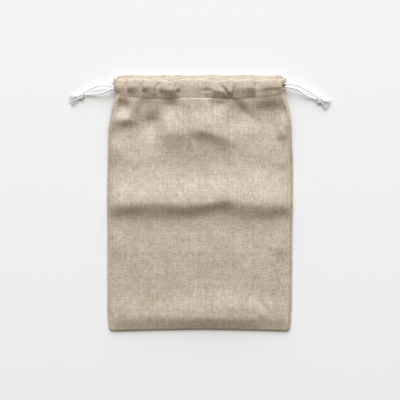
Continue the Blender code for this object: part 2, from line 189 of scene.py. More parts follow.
def make_table():
    """The pale surface that the bag lies on. It isn't part of the object."""
    half = 0.5 * TABLE_SIZE
    corners = [(-half, -half, 0.0), (half, -half, 0.0), (half, half, 0.0), (-half, half, 0.0)]
    mesh = bpy.data.meshes.new("table")
    mesh.from_pydata(corners, [], [(0, 1, 2, 3)])
    nodes = Nodes("table", TABLE_ROUGHNESS, TABLE_SPECULAR)
    nodes.feed(nodes.shader.inputs["Base Color"], (*TABLE_COLOUR, 1.0))
    mesh.materials.append(nodes.material)
    table = add_object("table", mesh)


# -------- the cloth's sizes, in millimetres

# LAYER_STEP is the way from the casing's front to its hem, inwards
THICKNESS = 0.6
HALF_CLOTH = 0.5 * THICKNESS
LAYER_STEP = 4.4
BACK_Z = HALF_CLOTH
CASING_Z = 16.7
CROWN_FALL = 1.2
CROWN_BEND = 2.2
CROWN_ROUNDING = 0.13
BOTTOM_ROUNDING = 0.34
FOLD_RISE = 3.0

STITCH_Y = 168.4
FRONT_TOP_Y = 196.0
BACK_TOP_Y = 204.6
BOTTOM_Y = -204.2
BOTTOM_SLOPE = 20.4
SIDE_SLOPE = 36.0
SIDE_FOLD_SLOPE = 11.0
CASING_PULL_Y = 138.0
CASING_RISE_LENGTH = 12.0

OUTLINE = (
    # y, left, right
    (206.0, -137.8, 138.0),
    (196.0, -139.4, 138.4),
    (188.0, -140.6, 138.4),
    (183.0, -139.8, 138.2),
    (178.0, -137.8, 138.0),
    (173.0, -135.8, 137.8),
    (169.5, -135.8, 137.8),
    (165.0, -138.0, 138.6),
    (158.0, -140.4, 141.4),
    (150.0, -142.4, 144.2),
    (134.0, -145.8, 146.4),
    (118.0, -148.4, 147.8),
    (92.0, -149.0, 148.6),
    (69.0, -149.4, 150.2),
    (37.0, -150.2, 150.2),
    (-12.0, -150.6, 150.0),
    (-44.0, -150.0, 149.4),
    (-100.0, -150.1, 149.0),
    (-141.0, -150.0, 148.6),
    (-170.0, -150.2, 148.2),
    (-188.0, -149.4, 147.2),
    (-198.0, -148.2, 146.0),
    (-202.0, -146.2, 144.8),
    (-203.0, -143.0, 142.8),
    (-204.2, -139.0, 140.2),
)

# How far the front stands over the back along the side edges
EDGE_RISES = (
    # y, rise
    (-206.0, 2.6),
    (60.0, 2.6),
    (106.0, 6.4),
    (138.0, 12.4),
    (168.4, 13.6),
    (180.4, 16.4),
    (206.0, 16.4),
)

# The front panel's height along the bag, between its folds
PANEL_HEIGHTS = (
    # y, height
    (-206.0, 5.9),
    (-150.0, 7.4),
    (-104.0, 9.1),
    (-80.0, 9.6),
    (-46.0, 9.1),
    (-26.0, 9.5),
    (0.0, 12.4),
    (60.0, 10.0),
    (150.0, 12.6),
    (169.0, 13.9),
)

# Folds right across the front: where the crest lies at each place across the bag, how high
# it stands, and how far it slopes off to each side
BELLY_FOLD = (
    # x, crest y, height, slope to mouth, slope to bottom
    (-150.0, -5.5, 5.8, 36.0, 12.0),
    (-130.0, -4.5, 8.0, 37.0, 13.0),
    (-100.0, -3.0, 7.7, 38.0, 14.0),
    (-78.0, 2.0, 7.3, 37.0, 20.0),
    (-60.0, 0.0, 7.8, 38.0, 18.0),
    (-40.0, -3.0, 8.3, 38.0, 14.0),
    (-20.0, -4.5, 8.4, 36.0, 13.0),
    (8.0, -0.5, 8.4, 38.0, 13.0),
    (36.0, 5.5, 8.5, 38.0, 13.0),
    (48.0, 5.5, 7.5, 35.0, 15.0),
    (60.0, 3.0, 6.3, 35.0, 21.0),
    (76.0, -1.0, 6.7, 36.0, 21.0),
    (104.0, -5.5, 7.3, 36.0, 15.0),
    (130.0, -5.5, 7.7, 37.0, 12.0),
    (150.0, -8.0, 5.6, 35.0, 11.0),
)
CHEST_FOLD = (
    # x, crest y, height, slope to mouth, slope to bottom
    (-150.0, 100.0, 0.0, 30.0, 20.0),
    (-80.0, 108.0, 0.0, 24.0, 20.0),
    (-66.0, 112.0, 2.4, 30.0, 18.0),
    (-50.0, 114.0, 4.8, 34.0, 19.0),
    (-34.0, 113.0, 4.8, 36.0, 19.0),
    (-22.0, 114.0, 2.8, 36.0, 16.0),
    (-13.0, 118.0, 5.2, 38.0, 13.0),
    (0.0, 118.0, 7.0, 40.0, 13.0),
    (14.0, 115.0, 7.6, 40.0, 13.0),
    (28.0, 110.0, 7.4, 40.0, 13.5),
    (41.0, 105.0, 5.2, 36.0, 14.0),
    (51.0, 102.0, 2.4, 30.0, 13.0),
    (62.0, 99.0, 0.2, 26.0, 20.0),
    (150.0, 90.0, 0.0, 30.0, 22.0),
)
FOOT_FOLD = (
    # x, crest y, height, slope to mouth, slope to bottom
    (-150.0, -176.0, 0.2, 20.0, 60.0),
    (-134.0, -181.0, 2.2, 20.0, 60.0),
    (-110.0, -182.0, 2.4, 21.0, 60.0),
    (-96.0, -182.0, 2.6, 22.0, 60.0),
    (-60.0, -183.0, 2.8, 24.0, 60.0),
    (-42.0, -183.0, 3.9, 29.0, 60.0),
    (-30.0, -182.0, 5.0, 29.0, 60.0),
    (0.0, -180.5, 5.6, 29.0, 60.0),
    (30.0, -178.0, 5.9, 29.0, 60.0),
    (62.0, -172.0, 5.8, 27.0, 60.0),
    (84.0, -174.0, 4.6, 24.0, 60.0),
    (104.0, -178.0, 2.6, 22.0, 60.0),
    (130.0, -181.0, 1.9, 20.0, 60.0),
    (150.0, -178.0, 0.4, 20.0, 60.0),
)
CROSS_FOLDS = (BELLY_FOLD, CHEST_FOLD, FOOT_FOLD)

# Short folds. Each is a ridge, or a hollow where its height is negative, whose length is
# turned from the X axis by so many degrees; its two sides may slope off differently.
SHORT_FOLDS = (
    # x, y, half length, slope on its left, slope on its right, turn, height
    (-10.0, 108.0, 52.0, 38.0, 46.0, 0.0, 3.8),
    (-92.0, 128.0, 32.0, 28.0, 36.0, 12.0, -6.4),
    (-78.0, 131.0, 11.0, 10.0, 20.0, 8.0, -5.2),
    (-123.0, 153.6, 10.5, 8.6, 15.0, 0.0, -8.6),
    (-111.0, 152.0, 13.0, 12.0, 8.0, 55.0, 3.0),
    (-120.0, 134.0, 16.0, 20.0, 9.5, 4.0, 7.8),
    (-90.0, 160.0, 12.0, 5.0, 10.0, 16.0, -1.6),
    (-48.0, 157.0, 11.0, 8.5, 27.0, 0.0, -6.0),
    (-30.0, 136.0, 15.0, 3.0, 3.0, -57.0, 0.8),
    (-14.0, 98.0, 20.0, 3.0, 4.0, -64.0, 0.8),
    (31.0, 159.5, 8.0, 5.5, 10.0, -18.0, -2.8),
    (70.0, 146.0, 21.0, 10.0, 32.0, -44.0, -8.4),
    (113.0, 149.0, 25.0, 11.0, 48.0, -2.0, -9.6),
    (133.0, 122.0, 9.0, 20.0, 14.0, 0.0, 4.4),
    (104.0, 118.0, 14.0, 26.0, 9.0, 0.0, 0.9),
    (132.0, 108.0, 8.0, 9.0, 6.0, -8.0, 2.6),
    (130.0, 63.0, 10.0, 9.0, 6.0, -10.0, 2.2),
    (-134.0, 84.0, 15.0, 14.0, 30.0, 0.0, 3.0),
    (-132.0, -72.0, 10.0, 24.0, 14.0, 0.0, 2.8),
    (130.0, -72.0, 11.0, 30.0, 10.0, 0.0, 2.4),
    (-110.0, -158.0, 9.0, 2.5, 2.5, 62.0, -0.9),
    (98.0, -162.0, 18.0, 4.0, 5.0, -52.0, -1.2),
    (99.0, -180.0, 6.0, 6.0, 5.0, 0.0, 1.2),
    (-84.0, -181.0, 12.0, 6.0, 5.0, 0.0, 0.8),
)

# Small uneven waves all over the front
WRINKLES = (
    # size, rise, seed
    (46.0, 0.5, 3.0),
    (17.0, 0.22, 8.0),
)

# The casing's front at each place along it: the height of its crown and of its stitch line,
# where the crown lies, and how far the top edge is pulled down
CASING = (
    # x, crown, stitches, crown y, drop of the top edge
    (-140.0, 18.4, 15.4, 185.0, 0.0),
    (-127.0, 19.0, 15.6, 185.0, 0.2),
    (-119.0, 18.2, 15.0, 185.0, 0.8),
    (-113.0, 21.0, 12.8, 186.0, 0.2),
    (-106.0, 20.6, 13.4, 186.0, 0.0),
    (-101.0, 19.4, 15.0, 186.0, 0.0),
    (-95.5, 18.2, 14.2, 187.0, 0.9),
    (-89.0, 21.0, 12.8, 186.0, 0.2),
    (-80.0, 20.0, 14.2, 186.0, 0.4),
    (-73.0, 20.2, 13.4, 186.0, 0.4),
    (-67.0, 19.2, 14.4, 187.0, 1.2),
    (-61.0, 20.8, 12.8, 185.0, 0.8),
    (-55.0, 20.2, 11.6, 184.0, 2.0),
    (-48.0, 19.8, 10.4, 183.0, 3.4),
    (-41.0, 19.4, 11.4, 184.0, 2.0),
    (-36.0, 20.4, 13.6, 186.0, 0.6),
    (-28.0, 17.6, 16.2, 186.0, 0.0),
    (2.0, 17.6, 16.0, 186.0, 0.2),
    (9.0, 19.0, 14.8, 186.0, 0.2),
    (17.0, 19.2, 15.2, 185.0, 1.0),
    (24.0, 19.6, 12.4, 182.0, 2.8),
    (32.0, 18.6, 12.2, 181.0, 2.6),
    (40.0, 20.6, 11.0, 181.0, 1.0),
    (48.0, 20.4, 10.6, 179.0, 0.2),
    (58.0, 18.4, 11.4, 186.0, 1.6),
    (65.0, 19.2, 14.6, 185.0, 0.6),
    (72.0, 19.6, 14.0, 185.0, 0.6),
    (79.0, 20.8, 12.0, 185.0, 0.6),
    (85.0, 20.8, 12.2, 185.0, 0.8),
    (91.0, 18.4, 15.4, 185.0, 1.6),
    (98.0, 18.6, 15.8, 184.0, 1.4),
    (106.0, 20.1, 14.4, 186.0, 0.2),
    (118.0, 19.4, 15.5, 186.0, 0.2),
    (127.0, 20.4, 15.6, 185.5, 0.6),
    (140.0, 19.4, 16.4, 185.0, 0.6),
)
# Creases in the casing, written as the short folds are
CASING_CREASES = (
    # x, y, half length, slope on its left, slope on its right, turn, height
    (41.0, 180.0, 10.0, 2.2, 2.6, -52.0, -3.2),
    (55.5, 182.0, 11.0, 2.4, 2.2, 72.0, -3.2),
    (-95.0, 188.0, 7.0, 1.8, 1.8, 84.0, -2.2),
    (-67.0, 190.0, 6.0, 1.8, 1.8, 66.0, -2.4),
    (-119.0, 188.0, 7.0, 2.0, 2.0, 90.0, -1.6),
    (-39.0, 189.0, 7.0, 1.8, 1.8, 84.0, -2.4),
    (90.0, 190.0, 6.0, 2.6, 2.6, 84.0, -1.8),
    (-112.0, 176.0, 5.0, 4.2, 4.6, 0.0, -1.5),
    (-88.5, 177.5, 5.0, 3.8, 4.6, -14.0, -1.6),
    (-61.0, 177.0, 4.5, 4.0, 4.6, -20.0, -1.6),
    (-35.0, 179.0, 3.5, 3.0, 5.0, 20.0, -1.6),
    (-76.0, 175.5, 6.0, 4.0, 2.6, 0.0, 0.8),
    (10.0, 181.0, 7.0, 2.4, 3.0, 4.0, -1.2),
    (114.0, 179.0, 14.0, 3.2, 5.0, 2.0, -1.0),
)

# How far the stitch line rises towards the mouth, and how far along the bag the cloth beside
# it follows
STITCH_RISES = (
    # x, rise
    (-140.0, 5.0),
    (-127.0, 4.0),
    (-118.0, 2.0),
    (-106.0, 1.4),
    (-94.0, 1.0),
    (-78.0, 0.0),
    (-48.0, -1.2),
    (-30.0, 0.0),
    (58.0, -0.6),
    (84.0, 0.8),
    (102.0, 2.0),
    (118.0, 4.2),
    (128.0, 6.0),
    (140.0, 7.0),
)
STITCH_REACH = 13.0
BOTTOM_BOW = 3.0
BOTTOM_REACH = 40.0
BOTTOM_HALF_WIDTH = 140.0
BOTTOM_BEND = 1.3

# The right side seam lies on the front, a little in from the edge: a ridge and a groove
SIDE_SEAM = (
    # distance from the edge, width, height
    (5.8, 1.3, 0.6),
    (3.2, 0.6, -2.0),
)
STITCH_GROOVE = 0.3
STITCH_GROOVE_WIDTH = 1.0

# The back: its seam under the casing, its slack, and the wave of its top edge
BACK_SEAM = 0.35
BACK_SEAM_WIDTH = 3.0
BACK_SLACK = 0.5
BACK_SLACK_SIZE = 60.0
BACK_SLACK_SEED = 21.0
BACK_WAVE = 0.6
BACK_WAVE_LENGTH = 61.0

# The hem inside the casing: how near it comes, and how its back part lifts below the mouth
HEM_GAP = 0.3
HEM_LIFT = 2.0
HEM_LIFT_LENGTH = 5.5

# The rows of stitches: from where to where they run across the bag, and one stitch's sizes
STITCHED = (-124.0, 127.0)
STITCH_PITCH = 3.0
STITCH_LENGTH = 2.4
STITCH_RADIUS = 0.21
STITCH_STAND = 0.08
STITCH_DIP = 0.4
STITCH_SIDES = 8
STITCH_RINGS = 7

# The slits in the side seams: the places along the bag that each lies between, and the
# steps round the side's arc that it leaves out
LEFT_SLIT = (179.0, 188.2)
LEFT_SLIT_STEPS = (3, 4, 5)
RIGHT_SLIT = (181.2, 191.0)
RIGHT_SLIT_STEPS = (1, 2, 3, 4, 5)

# How finely the cloth is divided
EDGE_STEP = 0.5
EDGE_STEPS = 16
MIDDLE_COLUMNS = 184
BACK_COLUMNS = 36
SIDE_STEPS = 12
FRONT_POINTS = 2 * EDGE_STEPS + MIDDLE_COLUMNS + 1
PANEL_ROWS = (
    # from, to, step
    (-202.2, -160.0, 2.0),
    (-160.0, 92.0, 4.0),
    (92.0, 165.5, 2.4),
)
ROWS_BESIDE_STITCHES = (-1.6, -0.8, 0.0, 0.8, 1.6)
BOTTOM_TURNS = (82.0, 68.0, 54.0, 38.0, 20.0, 0.0)
FOLD_TURNS = (20.0, 45.0, 70.0, 90.0, 110.0, 135.0, 160.0)
CASING_STEP = 1.0
HEM_STEP = 1.9


# -------- the cloth's shape

def ease(value):
    """0 below 0, 1 above 1, and a smooth step between."""
    value = np.clip(value, 0.0, 1.0)
    return value * value * (3.0 - 2.0 * value)


def read_table(table, place, column):
    """A column of a table whose first column is the place, eased between its rows."""
    rows = np.array(sorted(table))
    places = rows[:, 0]
    low = np.clip(np.searchsorted(places, place) - 1, 0, len(places) - 2)
    share = (place - places[low]) / (places[low + 1] - places[low])
    values = rows[:, column]
    return values[low] + (values[low + 1] - values[low]) * ease(share)


def along_path(points):
    """The distance along a path to each of its points."""
    steps = np.linalg.norm(np.diff(points, axis=0), axis=1)
    return np.concatenate([[0.0], np.cumsum(steps)])


def edge_at(y, column):
    """The left (1) or right (2) edge of the outline."""
    rows = np.array(sorted(OUTLINE))
    return float(np.interp(y, rows[:, 0], rows[:, column]))


def cross_fold(table, x, y):
    """The height that one fold right across the front adds at a point."""
    crest = read_table(table, x, 1)
    height = read_table(table, x, 2)
    slope = np.where(y > crest, read_table(table, x, 3), read_table(table, x, 4))
    return height * np.exp(-((y - crest) / slope) ** 2)


def short_fold(fold, x, y):
    """The height that one short fold adds at a point."""
    fold_x, fold_y, half_length, left_slope, right_slope, turn, height = fold
    along = (x - fold_x) * cos(radians(turn)) + (y - fold_y) * sin(radians(turn))
    across = (y - fold_y) * cos(radians(turn)) - (x - fold_x) * sin(radians(turn))
    slope = np.where(across > 0.0, left_slope, right_slope)
    return height * np.exp(-(along / half_length) ** 2 - (across / slope) ** 2)


def wrinkles(x, y, size, seed):
    """Soft uneven waves between -1 and 1, each about size across, at each x of one row."""
    return np.array([noise.noise((place / size, y / size, seed)) for place in x.tolist()])


def edge_rise(y):
    """How far the front stands over the back along the side edges."""
    return float(read_table(EDGE_RISES, y, 1))


def casing_height(x, y):
    """The casing's front without its crown, from the stitch line to its full height."""
    low = read_table(CASING, x, 2)
    return low + (CASING_Z - low) * ease((y - STITCH_Y) / CASING_RISE_LENGTH)


def rounded_fall(share, rounding):
    """Falls from 0 to 1 as the share goes from 0 to 1, evenly but for its rounded start."""
    share = np.clip(share, 0.0, 1.0)
    return (np.sqrt(share ** 2 + rounding ** 2) - rounding) / (sqrt(1.0 + rounding ** 2) - rounding)


def casing_front(x, y):
    """The casing's front, from the stitch line over its crown to its top edge."""
    crown_y = read_table(CASING, x, 3)
    crown = read_table(CASING, x, 1)
    to_stitches = rounded_fall((crown_y - y) / (crown_y - STITCH_Y), CROWN_ROUNDING)
    to_edge = np.clip((y - crown_y) / (FRONT_TOP_Y - crown_y), 0.0, 1.0) ** CROWN_BEND
    height = crown + (read_table(CASING, x, 2) - crown) * to_stitches - CROWN_FALL * to_edge
    return height + sum(short_fold(crease, x, y) for crease in CASING_CREASES)


def panel_height(x, y):
    """The front panel below the casing, without its folds, before its edges come down."""
    mouth_share = ease((y - CASING_PULL_Y) / (STITCH_Y - CASING_PULL_Y))
    height = np.interp(y, *np.array(PANEL_HEIGHTS).T)
    return height + (read_table(CASING, x, 2) - PANEL_HEIGHTS[-1][1]) * mouth_share


def fold_height(x, y):
    """How far the folds and wrinkles raise or lower the front panel."""
    height = sum(cross_fold(table, x, y) for table in CROSS_FOLDS)
    height = height + sum(short_fold(fold, x, y) for fold in SHORT_FOLDS)
    for size, rise, seed in WRINKLES:
        height = height + rise * wrinkles(x, y, size, seed)
    return height


def side_share(x, y, slope):
    """How much of the front's shape there is at a point: all of it farther in from the side
    edges than the slope, less beside them, and more again where they rise to the casing."""
    inset = np.minimum(x - edge_at(y, 1), edge_at(y, 2) - x)
    share = np.sin(0.5 * pi * np.clip(inset / slope, 0.0, 1.0))
    least_rise = EDGE_RISES[0][1]
    shoulder = (edge_rise(y) - least_rise) / (edge_rise(STITCH_Y) - least_rise)
    return share + (1.0 - share) * shoulder


def front_height(x, y):
    """The middle of the front cloth above the table."""
    groove = STITCH_GROOVE * np.exp(-((y - STITCH_Y) / STITCH_GROOVE_WIDTH) ** 2)
    if y >= STITCH_Y:
        return casing_front(x, y) - groove
    edge = BACK_Z + edge_rise(y)
    height = (edge + (panel_height(x, y) - edge) * side_share(x, y, SIDE_SLOPE)
              + fold_height(x, y) * side_share(x, y, SIDE_FOLD_SLOPE))
    fall = rounded_fall(1.0 - (y - BOTTOM_Y) / BOTTOM_SLOPE, BOTTOM_ROUNDING)
    height = height + (BACK_Z + FOLD_RISE - height) * fall - groove
    for place, width, rise in SIDE_SEAM:
        height = height + rise * np.exp(-((edge_at(y, 2) - x - place) / width) ** 2)
    return height


def back_height(x, y):
    """The middle of the back cloth, which lies on the table but for its slack and its seam."""
    slack = 0.5 + 0.5 * wrinkles(x, y, BACK_SLACK_SIZE, BACK_SLACK_SEED)
    seam = BACK_SEAM * np.exp(-((y - STITCH_Y) / BACK_SEAM_WIDTH) ** 2)
    return BACK_Z + BACK_SLACK * np.clip(slack, 0.0, 1.0) + seam


def row_shift(x, y, back_share):
    """How far a point of the bag moves along Y: the back stands higher than the front, the
    gathers pull the front's top edge down, the stitch line wanders, and the bottom bows."""
    height_share = max(y - STITCH_Y, 0.0) / (FRONT_TOP_Y - STITCH_Y)
    wave = BACK_WAVE * np.sin(2.0 * pi * x / BACK_WAVE_LENGTH)
    back = (BACK_TOP_Y - FRONT_TOP_Y + wave) * height_share
    beside = np.exp(-((y - STITCH_Y) / STITCH_REACH) ** 2)
    front = read_table(STITCH_RISES, x, 1) * beside - read_table(CASING, x, 4) * height_share
    to_corner = np.abs(x / BOTTOM_HALF_WIDTH) ** BOTTOM_BEND
    bow = BOTTOM_BOW * to_corner * ease((BOTTOM_Y + BOTTOM_REACH - y) / BOTTOM_REACH)
    return back * back_share + front * (1.0 - back_share) - bow


def across_front(left, right):
    """The front's places across the bag, closer together beside its edges."""
    near = EDGE_STEP * np.arange(EDGE_STEPS)
    middle = np.linspace(left + EDGE_STEP * EDGE_STEPS, right - EDGE_STEP * EDGE_STEPS,
                         MIDDLE_COLUMNS + 1)
    return np.concatenate([left + near, middle, right - near[::-1]])


def ring(y, depth=0.0, lift=0.0, flatness=1.0, back_lift=0.0, front=front_height):
    """One closed ring of the cloth across the bag, in order round it: the front from left
    to right, the right side, the back from right to left, and the left side.

    depth moves the ring inwards, as the hem lies inside the casing, lift moves it along Y,
    flatness brings front and back together at the bottom end, and back_lift raises the back
    of the hem."""
    radius = 0.5 * edge_rise(y)
    middle = BACK_Z + radius
    left = edge_at(y, 1) + HALF_CLOTH + radius
    right = edge_at(y, 2) - HALF_CLOTH - radius
    shares = np.arange(1, SIDE_STEPS) / SIDE_STEPS
    turns = pi * shares
    front_x = across_front(left, right)
    back_x = np.linspace(right, left, BACK_COLUMNS + 1)
    x = np.concatenate([front_x, right + (radius - depth) * np.sin(turns),
                        back_x, left - (radius - depth) * np.sin(turns)])
    front_z = middle + (front(front_x, y) - depth - middle) * flatness
    side_z = (radius * flatness - depth) * np.cos(turns)
    back_z = middle + (back_height(back_x, y) + depth + back_lift - middle) * flatness
    z = np.concatenate([front_z, middle + side_z, back_z, middle - side_z])
    back_share = np.concatenate([np.zeros(len(front_x)), shares,
                                 np.ones(len(back_x)), 1.0 - shares])
    return np.stack([x, y + lift + row_shift(x, y, back_share), z], axis=1)


def cloth_rings():
    """The rings from the bottom fold up the outside, over the mouth and down the hem. Those
    on the outside have their place along the bag with them."""
    rows = []
    for turn in BOTTOM_TURNS:
        y = BOTTOM_Y + HALF_CLOTH + 0.5 * FOLD_RISE * (1.0 - sin(radians(turn)))
        rows.append((y, ring(y, flatness=cos(radians(turn)))))
    panel_rows = np.concatenate([np.arange(*reach) for reach in PANEL_ROWS])
    beside_stitches = STITCH_Y + STITCH_GROOVE_WIDTH * np.array(ROWS_BESIDE_STITCHES)
    casing_rows = np.arange(beside_stitches[-1] + CASING_STEP, FRONT_TOP_Y, CASING_STEP)
    for y in (*panel_rows, *beside_stitches, *casing_rows, FRONT_TOP_Y):
        rows.append((y, ring(y)))
    for turn in FOLD_TURNS:
        depth = 0.5 * LAYER_STEP * (1.0 - cos(radians(turn)))
        lift = 0.5 * LAYER_STEP * sin(radians(turn))
        rows.append((None, ring(FRONT_TOP_Y, depth, lift)))
    least = THICKNESS + HEM_GAP
    for y in np.arange(FRONT_TOP_Y, STITCH_Y, -HEM_STEP):
        share = ease((y - STITCH_Y) / CASING_RISE_LENGTH)
        depth = least + (LAYER_STEP - least) * share
        back_lift = HEM_LIFT * share * ease((FRONT_TOP_Y - y) / HEM_LIFT_LENGTH)
        rows.append((None, ring(y, depth, back_lift=back_lift, front=casing_height)))
    return rows


def in_slit(y, step):
    """Whether a face beside a row at y and a step round the ring lies in a slit."""
    if y is None:
        return False
    right_end = FRONT_POINTS - 1
    left_end = FRONT_POINTS + SIDE_STEPS - 1 + BACK_COLUMNS + SIDE_STEPS - 1
    if RIGHT_SLIT[0] <= y < RIGHT_SLIT[1] and step - right_end in RIGHT_SLIT_STEPS:
        return True
    return LEFT_SLIT[0] <= y < LEFT_SLIT[1] and left_end - step in LEFT_SLIT_STEPS


def weave_places(rings):
    """Where each point lies in the flat cloth: u round the bag and v along it."""
    places = []
    for points, v in zip(rings, along_path(np.array(rings)[:, FRONT_POINTS // 2])):
        front_x = points[:FRONT_POINTS, 0]
        back = along_path(np.concatenate([points[FRONT_POINTS - 1:], points[:1]]))
        places.append((np.concatenate([front_x, front_x[-1] + back[1:]]), v))
    return places


def build_cloth():
    """The bag's linen, thickened, with its weave laid out in the UV map."""
    rows, rings = zip(*cloth_rings())
    flat = weave_places(rings)
    count = len(rings[0])
    faces = []
    weave = []
    for row in range(len(rings) - 1):
        for step in range(count):
            if in_slit(rows[row], step):
                continue
            after = (step + 1) % count
            low, high = row * count, (row + 1) * count
            faces.append((low + step, low + after, high + after, high + step))
            (u_low, v_low), (u_high, v_high) = flat[row], flat[row + 1]
            weave.append(((u_low[step], v_low), (u_low[step + 1], v_low),
                          (u_high[step + 1], v_high), (u_high[step], v_high)))
    for face in bottom_faces():
        faces.append(face)
        weave.append([(rings[0][point][0], 0.0) for point in face])
    mesh = bpy.data.meshes.new("linen_bag")
    mesh.from_pydata(np.concatenate(rings) * MM, [], faces)
    uv = mesh.uv_layers.new(name="weave")
    uv.data.foreach_set("uv", np.array([c for face in weave for point in face for c in point]) * MM)
    mesh.shade_smooth()
    bag = add_object("linen_bag", mesh)
    drop_loose_points(bag)
    solid = bag.modifiers.new("thickness", "SOLIDIFY")
    solid.thickness = THICKNESS * MM
    solid.offset = 0.0
    mesh.materials.append(linen_material())
    return bag


def bottom_faces():
    """The strip that closes the bottom fold between the front and the back."""
    faces = []
    per_back = (FRONT_POINTS - 1) // BACK_COLUMNS
    back_start = FRONT_POINTS - 1 + SIDE_STEPS
    for column in range(BACK_COLUMNS):
        front = [per_back * column + step for step in range(per_back, -1, -1)]
        back = back_start + BACK_COLUMNS - column
        faces.append((*front, back, back - 1))
    faces.append(tuple(range(back_start, FRONT_POINTS - 2, -1)))
    left_start = back_start + BACK_COLUMNS
    count = left_start + SIDE_STEPS
    faces.append(tuple((left_start + step) % count for step in range(SIDE_STEPS, -1, -1)))
    return faces


def drop_loose_points(obj):
    """Deletes the points that no face uses, such as those inside the slits."""
    mesh = bmesh.new()
    mesh.from_mesh(obj.data)
    bmesh.ops.delete(mesh, geom=[v for v in mesh.verts if not v.link_faces], context="VERTS")
    mesh.to_mesh(obj.data)
    mesh.free()


# -------- the linen's look

THREAD_PITCH = 0.00085
THREAD_SWING = 0.45
THREAD_ROUND = 0.6
LEAST_WIDTH = 0.72
MOST_WIDTH = 1.12
SLUB_LENGTH = 0.011
SLUB_SHARE = 0.8
WAVER_SIZE = 0.005
WAVER = 0.0006
THREAD_TONES = (
    # tone, colour
    (0.0, (0.325, 0.246, 0.174)),
    (0.4, (0.507, 0.41, 0.309)),
    (0.6, (0.595, 0.499, 0.39)),
    (1.0, (0.735, 0.655, 0.548)),
)

# The threads that run each way: the seed of their unevenness, and whether the first starts over
WARP = (11.3, 0.0)
WEFT = (57.9, 1.0)
SEED_STRIDE = 3.71

# The gaps between threads: how low they are, how dark the painted shade makes them, and the height
# from which the threads are fully light
GAP_HEIGHT = -0.3
GAP_PAINTED_SHADE = 0.42
LIGHT_HEIGHT = 0.55

MOTTLE_SIZE = 0.03
MOTTLE_RANGE = (0.3, 0.7)
MOTTLE = 0.05
FIBRE_WIDTH = 0.00012
FIBRE_LENGTH = 0.0014
FIBRE_TONE = 0.12
FIBRE_RELIEF = 0.25
WEAVE_BUMP = 0.0002
WEAVE_BUMP_STRENGTH = 0.6
LINEN_ROUGHNESS = 0.55
LINEN_SPECULAR = 0.5


class Threads:
    """The threads that run one way through the weave: for each point of the cloth, the tone,
    the height and the fibres of the thread there."""

    def __init__(self, nodes, across, along, seed, first_over):
        """across and along are places in metres; first_over is 0 or 1, the way that the
        first thread starts, over or under."""
        place = nodes.math("DIVIDE", across, THREAD_PITCH)
        other_place = nodes.math("DIVIDE", along, THREAD_PITCH)
        thread = nodes.math("FLOOR", place)
        own = nodes.math("MULTIPLY_ADD", thread, SEED_STRIDE, seed)
        slubs = nodes.flat_noise(own, nodes.math("DIVIDE", along, SLUB_LENGTH))
        whole = nodes.add("TexWhiteNoise", "Value", {"noise_dimensions": "1D"}, W=own)
        self.tone = nodes.mix(SLUB_SHARE, whole, slubs)
        self.fibres = nodes.flat_noise(nodes.math("DIVIDE", across, FIBRE_WIDTH),
                                       nodes.math("DIVIDE", along, FIBRE_LENGTH))

        width = nodes.scaled(slubs, 0.0, 1.0, LEAST_WIDTH, MOST_WIDTH)
        from_middle = nodes.math("SUBTRACT", nodes.math("FRACT", place), 0.5)
        from_middle = nodes.math("DIVIDE", nodes.math("MULTIPLY", from_middle, 2.0), width)
        inside = nodes.math("SUBTRACT", 1.0, nodes.math("POWER", from_middle, 2.0))
        arch = nodes.math("SQRT", nodes.math("MAXIMUM", inside, 0.0))
        swing = nodes.math("ADD", nodes.math("ADD", thread, other_place), first_over - 0.5)
        swing = nodes.math("COSINE", nodes.math("MULTIPLY", swing, pi))
        height = nodes.math("MULTIPLY_ADD", arch, THREAD_ROUND,
                            nodes.math("MULTIPLY", swing, THREAD_SWING))
        gap = nodes.math("LESS_THAN", inside, 0.0)
        self.height = nodes.math("SUBTRACT", height, gap)


def linen_material():
    """Plain-weave linen laid out by the weave's own places: round threads that pass over
    and under each other, with slubs, thick and thin places and fibres, and painted shade
    that darkens the gaps and the low parts of the threads."""
    nodes = Nodes("linen", LINEN_ROUGHNESS, LINEN_SPECULAR)
    weave = nodes.add("UVMap", "UV", {"uv_map": "weave"})
    waver = nodes.noise(weave, 1.0 / WAVER_SIZE, 1.0, output="Color")
    centred = nodes.math("SUBTRACT", waver, (0.5, 0.5, 0.5), kind="VectorMath")
    wavered = nodes.math("MULTIPLY_ADD", centred, (WAVER, WAVER, 0.0), weave, kind="VectorMath")
    parts = nodes.add("SeparateXYZ", "X", Vector=wavered).node.outputs
    u, v = parts["X"], parts["Y"]

    warp = Threads(nodes, u, v, *WARP)
    weft = Threads(nodes, v, u, *WEFT)
    warp_on_top = nodes.math("GREATER_THAN", warp.height, weft.height)
    height = nodes.math("MAXIMUM", nodes.math("MAXIMUM", warp.height, weft.height), GAP_HEIGHT)
    tone = nodes.mix(warp_on_top, weft.tone, warp.tone)
    fibres = nodes.mix(warp_on_top, weft.fibres, warp.fibres)

    mottle = nodes.noise(weave, 1.0 / MOTTLE_SIZE, 2.0)
    tone = nodes.math("ADD", tone, nodes.scaled(mottle, *MOTTLE_RANGE, -MOTTLE, MOTTLE))
    tone = nodes.math("ADD", tone, nodes.scaled(fibres, 0.0, 1.0, -FIBRE_TONE, FIBRE_TONE))

    ramp = nodes.tree.nodes.new("ShaderNodeValToRGB")
    stops = ramp.color_ramp.elements
    for index, (place, colour) in enumerate(THREAD_TONES):
        stop = stops[index] if index < len(stops) else stops.new(place)
        stop.position = place
        stop.color = (*colour, 1.0)
    nodes.feed(ramp.inputs["Fac"], tone)
    # Painted shade: the colour is darkened where the weave lies low, most in the gaps between
    # threads
    painted_weave_shade = nodes.scaled(height, GAP_HEIGHT, LIGHT_HEIGHT, GAP_PAINTED_SHADE, 1.0)
    colour_with_painted_shade = nodes.add("VectorMath", "Vector", {"operation": "SCALE"},
                       Vector=ramp.outputs["Color"], Scale=painted_weave_shade)
    relief = nodes.math("MULTIPLY_ADD", fibres, FIBRE_RELIEF, height)
    return nodes.finish(colour_with_painted_shade, relief, WEAVE_BUMP_STRENGTH, WEAVE_BUMP)


# -------- the drawstrings' sizes, in metres

